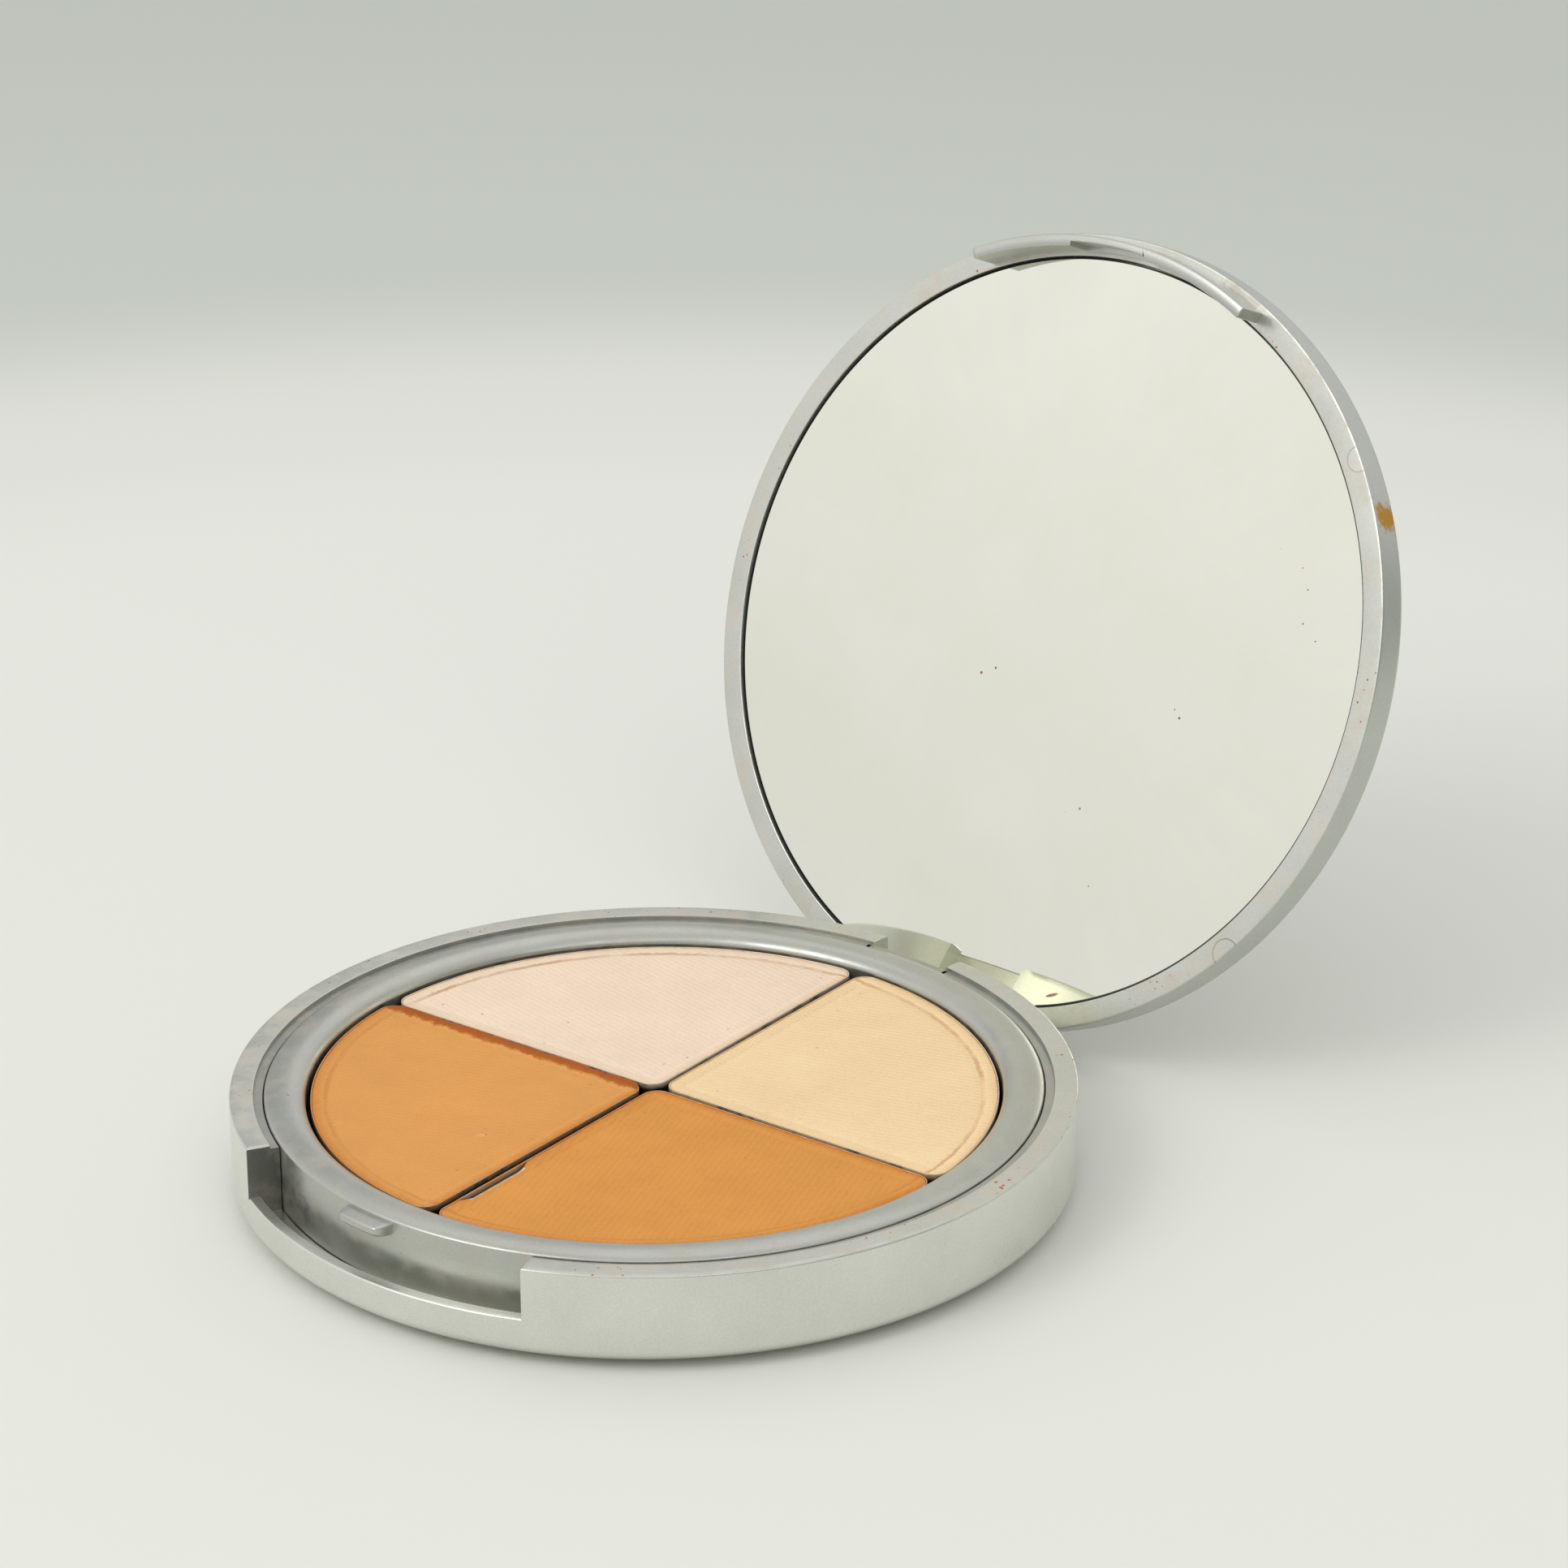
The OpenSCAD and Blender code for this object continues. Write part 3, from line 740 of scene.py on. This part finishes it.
def stacked(bm, rings, sizes, grow, fine=1):
    """Draws a quarter outline and extrudes it through rings of (inset, height) into a closed solid."""
    def outline(inset, z):
        corner = max(sizes.pan_corner - inset, EASE)
        points = quarter(sizes.pan_r + grow * MM - inset, sizes.side_gap + inset, corner, fine)
        return [Vector((x, y, z)) for x, y in points]

    ring = [bm.verts.new(p) for p in outline(*rings[0])]
    order = {v: i for i, v in enumerate(ring)}
    loop = [bm.edges.new(p) for p in zip(ring, ring[1:] + ring[:1])]
    bmesh.ops.contextual_create(bm, geom=loop)
    for inset, z in rings[1:]:
        points = outline(inset, z)
        made = bmesh.ops.extrude_edge_only(bm, edges=loop)["geom"]
        fresh = {g for g in made if isinstance(g, bmesh.types.BMVert)}
        nxt = {}
        for v in fresh:
            old = next(e.other_vert(v) for e in v.link_edges if e.other_vert(v) in order)
            nxt[v] = order[old]
            v.co = points[nxt[v]]
        loop = [g for g in made if isinstance(g, bmesh.types.BMEdge) and fresh.issuperset(g.verts)]
        order = nxt
    bmesh.ops.contextual_create(bm, geom=loop)


def lay_in(bm, spot):
    """Puts a piece drawn in the first quarter into its place."""
    turn = Matrix.Rotation(math.radians(spot[3]), 3, "Z")
    bmesh.ops.rotate(bm, verts=bm.verts, cent=(0, 0, 0), matrix=turn)
    bmesh.ops.translate(bm, verts=bm.verts, vec=(spot[1] * MM, spot[2] * MM, 0))


class BuildPans(bpy.types.Operator):
    """Builds the four metal pans"""
    bl_idname = "compact.pans"
    bl_label = "Metal pans"

    def execute(self, context):
        s, shades = context.scene.compact_sizes, context.scene.compact_colours
        low, high, t = PAN_LOW.z, PAN_HIGH.z, s.pan_t
        for spot in PANS:
            bm = bmesh.new()
            # The wall draws in to a thin cut edge at the top.
            stacked(bm, [(0.25 * MM, low), (0.08 * MM, low + 0.08 * MM), (0, low + 0.25 * MM),
                         (0, high - 0.8 * MM), (0.02 * MM, high - 0.04 * MM), (0.05 * MM, high),
                         (0.11 * MM, high), (0.14 * MM, high - 0.04 * MM), (0.16 * MM, high - 0.5 * MM),
                         (t, high - 1.2 * MM), (t, low + t)], s, spot[4])
            settle(bm)
            lay_in(bm, spot)
            name = "pan_" + spot[0]
            piece("metal_" + name, bm, [pan_metal("drawn_tinplate_" + spot[0], getattr(shades, spot[0]))],
                  "base", [name])
        return {"FINISHED"}


class BuildPowders(bpy.types.Operator):
    """Builds the four pressed powder cakes"""
    bl_idname = "compact.powders"
    bl_label = "Pressed powders"

    def execute(self, context):
        s, shades = context.scene.compact_sizes, context.scene.compact_colours
        t, low, high = s.pan_t, POWDER_LOW.z, POWDER_HIGH.z
        looks = {
            "yellow": dict(rim=0.95, streak=0.02, specks=0.2, line=0.5),
            "pink": dict(rim=0.93, streak=0.0, specks=0.45, weave=77, line=0.6),
            "tan": dict(rim=0.84, streak=0.03, specks=0.15, crumb=(0.75 * MM, (0.62, 0.38, 0.24)),
                        ring=RING_MARK),
            "brown": dict(rim=0.84, streak=0.05, specks=0.1, chip=(CHIP_X, 3.6 * MM)),
        }
        for spot in PANS:
            name = spot[0]
            bm = bmesh.new()
            # From the pan's wall over a rounded border to the stamped groove and the flat middle.
            rings = [(t, low), (t, high - 1.15 * MM), (0.17 * MM, high - 0.45 * MM), (0.16 * MM, high - 0.02 * MM),
                     (0.2 * MM, high + 0.05 * MM), (0.36 * MM, high + 0.08 * MM), (0.7 * MM, high + 0.07 * MM)]
            rings += [(t + inset * MM, high + rise * MM) for inset, rise in (
                (0.7, 0.04), (0.9, -0.01), (1.05, -0.08), (1.25, -0.07), (1.45, -0.02), (2.0, -0.01), (3.5, 0))]
            stacked(bm, rings, s, spot[4], fine=2)
            settle(bm)
            for v in bm.verts:
                if v.co.z < high - 0.3 * MM:
                    continue
                from_arc = s.pan_r + spot[4] * MM - v.co.xy.length
                border = min(v.co.x, v.co.y, from_arc + s.side_gap) - s.side_gap - t
                if border > 1.9 * MM:
                    continue
                stir = noise.noise(v.co * 1400) * 0.5 + noise.noise(v.co * 3600) * 0.3
                v.co.z += stir * 0.045 * MM
                from_side = v.co.y - s.side_gap - t
                if name == "tan" and from_side < 1.15 * MM and v.co.xy.length > 1.2 * MM:
                    # The crushed strip stands a little proud and leans over the gap.
                    part = noise.noise(Vector((v.co.x * 420, 0.3, 1.7))) * 0.5 + 0.5
                    v.co.z += (0.04 + 0.1 * part) * MM * (1 if from_side < 0.8 * MM else 0.4)
                    if v.co.z > high:
                        lean = min(1, max(0, 1 - from_side / (1.2 * MM)))
                        v.co.y -= (0.08 + 0.3 * part + 0.12 * stir) * MM * lean
                if name == "brown" and from_side < 0.5 * MM:
                    # A chip out of the side towards the front leaves the pan's wall bare.
                    chip = min(1, 3 * max(0, 1 - abs(v.co.x - CHIP_X) / (4.5 * MM)))
                    v.co.y += chip * (0.5 + 0.2 * stir) * MM
                    v.co.z -= chip * 0.2 * MM
            lay_in(bm, spot)
            place = (spot[1] * MM, spot[2] * MM, math.radians(spot[3]), spot[4] * MM)
            made = pressed_powder("pressed_talc_powder_" + name, getattr(shades, name), place, s, **looks[name])
            piece("cake_" + name, bm, [made], "base", ["powder_" + name], sharp=50,
                  weighted=False)
        return {"FINISHED"}


# ---- the lid

def on_land(turn, r, s, lift=0.0):
    """A point on the open lid's land, by its angle from the top towards +X."""
    turn = math.radians(turn)
    return swung((r * math.sin(turn), -r * math.cos(turn), s.land_z - lift))


class BuildLid(bpy.types.Operator):
    """Builds the upper half of the case with its skirt and hinge lug"""
    bl_idname = "compact.lid"
    bl_label = "Lid shell"

    def execute(self, context):
        s, shades = context.scene.compact_sizes, context.scene.compact_colours
        land_r, land, top = s.case_r - s.land_w, s.land_z, s.land_z + s.lid_h
        seat = land + s.mirror_drop + s.mirror_t + PAD_T
        outline = [(0, seat), (land_r, seat), (land_r, land + 0.1 * MM), (land_r + 0.03 * MM, land + 0.03 * MM),
                   (land_r + 0.1 * MM, land), (s.case_r - 0.2 * MM, land),
                   (s.case_r - 0.06 * MM, land + 0.06 * MM), (s.case_r, land + 0.2 * MM)]
        outline += arc(s.case_r - s.edge_r, top - s.edge_r, s.edge_r, s.edge_r, 0, 90, 10)
        outline += [(s.case_r - 3 * MM, top), (0, top)]
        bm = bmesh.new()
        turned(bm, outline, 0, math.tau, ROUND_STEPS)
        settle(bm)
        for f in bm.faces:
            middle = f.calc_center_median()
            if f.normal.z < -0.6 and middle.z < land + 0.1 * MM and middle.xy.length > land_r:
                f.material_index = 1
        # Skirt that fills the thumb notch, with the pocket for the catch in its inner face.
        low, inner, outer = land - s.skirt_h, s.skirt_out - s.skirt_t, s.skirt_out
        wall = [(inner, land + 0.3 * MM), (inner, POCKET_TOP + 0.05 * MM), (inner, POCKET_TOP),
                (inner, low + 0.15 * MM), (inner + 0.04 * MM, low + 0.05 * MM), (inner + 0.15 * MM, low),
                (outer - 0.2 * MM, low), (outer - 0.06 * MM, low + 0.06 * MM), (outer, low + 0.2 * MM),
                (outer, land + 0.3 * MM)]
        half = s.notch_half - s.skirt_play
        skirt = bmesh.new()
        turned(skirt, wall, -math.pi / 2 - s.notch_turn - half, 2 * half, 96, closed=True)
        settle(skirt)
        pocket = s.ledge_w / 2 + POCKET_SIDE
        for side in (-1, 1):
            for reach in (pocket - 0.06 * MM, pocket):
                cut(skirt, (side * reach - s.ledge_shift, 0, 0), (1, 0, 0), lambda c: True)
        for v in skirt.verts:
            r, aside = v.co.xy.length, abs(v.co.x + s.ledge_shift)
            if aside < pocket - 0.04 * MM and v.co.z < POCKET_TOP + 0.01 * MM and r < inner + 0.16 * MM:
                v.co.xy *= (inner + POCKET_D + (r - inner) * 0.6) / r
        ease(skirt, lambda co: abs(math.atan2(co.x, -co.y) + s.notch_turn) > half - 0.002)
        # Hinge lug: a web behind the bridge down to the axis, with a round knuckle.
        web = [(land_r + 0.15 * MM, land + 0.4 * MM)]
        web += [(PIVOT.y + y, PIVOT.z + z) for y, z in arc(0, 0, KNUCKLE_R, KNUCKLE_R, 100.5, 360, 26)]
        web += [(s.case_r, PIVOT.z), (s.case_r, land + 0.4 * MM)]
        lug = bmesh.new()
        face = [lug.verts.new((-LUG_HALF, y, z)) for y, z in web]
        loop = [lug.edges.new(p) for p in zip(face, face[1:] + face[:1])]
        front = bmesh.ops.contextual_create(lug, geom=loop)["faces"]
        for step in range(LUG_STEPS):
            made = bmesh.ops.extrude_face_region(lug, geom=front)
            moved = [g for g in made["geom"] if isinstance(g, bmesh.types.BMVert)]
            bmesh.ops.translate(lug, verts=moved, vec=(2 * LUG_HALF / LUG_STEPS, 0, 0))
            if step:
                bmesh.ops.delete(lug, geom=front, context="FACES_ONLY")
            front = [g for g in made["geom"] if isinstance(g, bmesh.types.BMFace)]
        for v in lug.verts:
            v.co.y = min(v.co.y, math.sqrt((s.case_r - 0.02 * MM) ** 2 - v.co.x ** 2))
        settle(lug)
        ease(lug, lambda co: abs(abs(co.x) - LUG_HALF) < 1e-6)
        add_part(bm, skirt)
        add_part(bm, lug)
        swing(bm)
        marks = [(on_land(turn, s.case_r - 0.15 * MM, s), size * MM) for turn, size in ((52, 1.35), (128.5, 1.5))]
        wall_spot = on_land(60.5, s.case_r, s, -2.1 * MM)
        smear = (wall_spot, (math.radians(-22.5), 0, 0), (2.6 * MM, 4.6 * MM, 2.6 * MM))
        # The lid's lacquer is darkened by tint 0.88: painted shade.
        plain = silver_lacquer("silver_flake_lacquer_lid", shades, smear=smear, tint=0.88)
        dusted = silver_lacquer("silver_lacquer_dusted_land", shades, dusty=0.9, marks=marks)
        piece("case_lid", bm, [plain, dusted], "lid", ["lid_shell"])
        return {"FINISHED"}


class BuildMirror(bpy.types.Operator):
    """Builds the mirror glass"""
    bl_idname = "compact.mirror"
    bl_label = "Mirror"

    def execute(self, context):
        s = context.scene.compact_sizes
        r = s.case_r - s.land_w - s.mirror_gap
        face, back = s.land_z + s.mirror_drop, s.land_z + s.mirror_drop + s.mirror_t
        outline = [(0, face), (r - 0.12 * MM, face), (r, face + 0.12 * MM), (r, back - 0.05 * MM),
                   (r - 0.05 * MM, back), (0, back)]
        bm = bmesh.new()
        turned(bm, outline, 0, math.tau, 256)
        settle(bm)
        for f in bm.faces:
            f.material_index = 0 if f.normal.z < -0.95 else 1
        swing(bm)
        spots = [(on_land(turn, r_mm * MM, s), reach * MM) for turn, r_mm, reach in (
            (66, 27.3, 4), (78, 28.5, 3.5), (103, 18, 2), (153, 24, 2.5), (133, 11.8, 2), (149, 17.8, 2),
            (221, 7, 3))]
        smudge = [(on_land(160, 33.8 * MM, s), (math.radians(-22), -0.5, 0), (0.8 * MM, 3 * MM, 0.17 * MM))]
        silvered = mirror_face("silvered_float_glass", spots, smudge)
        piece("mirror_face", bm, [silvered, ground_glass("ground_glass_edge")], "lid", ["mirror_glass"],
              weighted=False)
        return {"FINISHED"}


class FinishHidden(bpy.types.Operator):
    """Gives the pin, the adhesive pads and the foam disc their materials"""
    bl_idname = "compact.hidden"
    bl_label = "Pin, pads and foam"

    def execute(self, context):
        pin = steel_pin("nickel_plated_steel_wire")
        pad = foam("white_polyethylene_foam", linear("#C9C8C0"), linear("#EFEEE8"), 0.35 * MM)
        glue = foam("black_acrylic_foam_tape", linear("#1B1B1C"), linear("#34343A"), 0.2 * MM)
        for name, finish_of in [("hinge_pin", pin), ("mirror_pad", pad)] + [
                ("glue_" + p[0], glue) for p in PANS]:
            kept = frame["nodes"][name]
            for slot in kept.material_slots:
                slot.material = finish_of
            if not kept.material_slots:
                kept.data.materials.append(finish_of)
        return {"FINISHED"}


# ---- stage

class SetStage(bpy.types.Operator):
    """Lays the pale floor, and sets the lights and the camera"""
    bl_idname = "compact.stage"
    bl_label = "Floor, lights and camera"

    def execute(self, context):
        shades, scene = context.scene.compact_colours, context.scene
        bm = bmesh.new()
        bmesh.ops.create_circle(bm, cap_ends=True, segments=96, radius=4.0)
        mesh = bpy.data.meshes.new("floor")
        bm.to_mesh(mesh)
        bm.free()
        mesh.materials.append(seamless_paper("matt_white_paper", shades.floor, shades.backdrop))
        floor = bpy.data.objects.new("floor", mesh)
        scene.collection.objects.link(floor)

        # Big soft surroundings: brighter overhead, darker low on the right and in a patch at the back left.
        world = bpy.data.worlds.new("soft surroundings")
        scene.world = world
        world.use_nodes = True
        tree = world.node_tree
        way = node(tree, "TexCoord").outputs["Generated"]
        up = node(tree, "SeparateXYZ", {"Vector": way}).outputs["Z"]
        sky = ramp(tree, up, (0.0, linear("#D9D9D9")), (0.12, linear("#DDDDDD")), (0.22, linear("#E6E6E6")),
                   (0.34, linear("#F4F4F4")), (1.0, linear("#E8E8E8")))
        right = ramp(tree, gauge(tree, "DOT_PRODUCT", way, (0.9, -0.1, -0.25)), (0.15, 1.0), (0.8, 0.36))
        rear = ramp(tree, gauge(tree, "DOT_PRODUCT", way, (-0.8, 0.5, 0.33)), (0.925, 1.0), (0.985, 0.56))
        shade = times(tree, right, rear)
        feed(tree, tree.nodes["Background"], {"Color": times(tree, sky, shade), "Strength": 1.0})

        for name, spot, size, watts in (
                ("softbox over the front", (-0.25, -0.75, 0.8), 0.7, 2.2),
                ("bare tube in the softbox", (-0.14, -0.6, 0.62), 0.13, 0.22),
                ("softbox over the back", (-0.35, 0.5, 0.9), 0.8, 0.35),
                ("softbox on the right", (0.75, -0.35, 0.75), 0.8, 0.9)):
            lamp = bpy.data.lights.new(name, "AREA")
            lamp.shape, lamp.size, lamp.energy = "DISK", size, watts
            lamp.color = linear("#FFFFFC")
            light = bpy.data.objects.new(name, lamp)
            light.location = spot
            light.rotation_euler = (-Vector(spot)).to_track_quat("-Z", "Y").to_euler()
            scene.collection.objects.link(light)

        lens = bpy.data.cameras.new("camera")
        lens.lens, lens.sensor_width, lens.sensor_fit = 120, 36, "HORIZONTAL"
        lens.clip_start, lens.clip_end = 0.01, 20
        camera = bpy.data.objects.new("camera", lens)
        aim = Vector((4.68, 11.91, 34.17)) * MM
        turn, rise, roll = (math.radians(a) for a in (41.28, 22.47, -0.18))
        away = 451.94 * MM
        back = Vector((math.sin(turn) * math.cos(rise), -math.cos(turn) * math.cos(rise), math.sin(rise)))
        camera.location = aim + back * away
        look = back.to_track_quat("Z", "Y").to_matrix() @ Matrix.Rotation(roll, 3, "Z")
        camera.rotation_euler = look.to_euler()
        scene.collection.objects.link(camera)
        scene.camera = camera
        scene.view_settings.view_transform = "Standard"
        return {"FINISHED"}


class CompactPanel(bpy.types.Panel):
    """Lists the pieces and their sizes"""
    bl_idname = "VIEW3D_PT_powder_compact"
    bl_label = "Powder compact"
    bl_space_type = "VIEW_3D"
    bl_region_type = "UI"
    bl_category = "Compact"

    def draw(self, context):
        layout = self.layout
        for step in STEPS:
            layout.operator(step.bl_idname)
        for group in (context.scene.compact_sizes, context.scene.compact_colours):
            box = layout.box()
            for name in group.__annotations__:
                box.prop(group, name)


STEPS = (SetStage, BuildBase, BuildFrame, BuildPans, BuildPowders, BuildLid, BuildMirror, FinishHidden)
CLASSES = (CompactSizes, CompactColours) + STEPS + (CompactPanel,)


def register():
    for cls in CLASSES:
        bpy.utils.register_class(cls)
    bpy.types.Scene.compact_sizes = bpy.props.PointerProperty(type=CompactSizes)
    bpy.types.Scene.compact_colours = bpy.props.PointerProperty(type=CompactColours)


def unregister():
    del bpy.types.Scene.compact_colours
    del bpy.types.Scene.compact_sizes
    for cls in reversed(CLASSES):
        bpy.utils.unregister_class(cls)


def main():
    register()
    for step in STEPS:
        group, name = step.bl_idname.split(".")
        getattr(getattr(bpy.ops, group), name)()


if __name__ == "__main__":
    main()
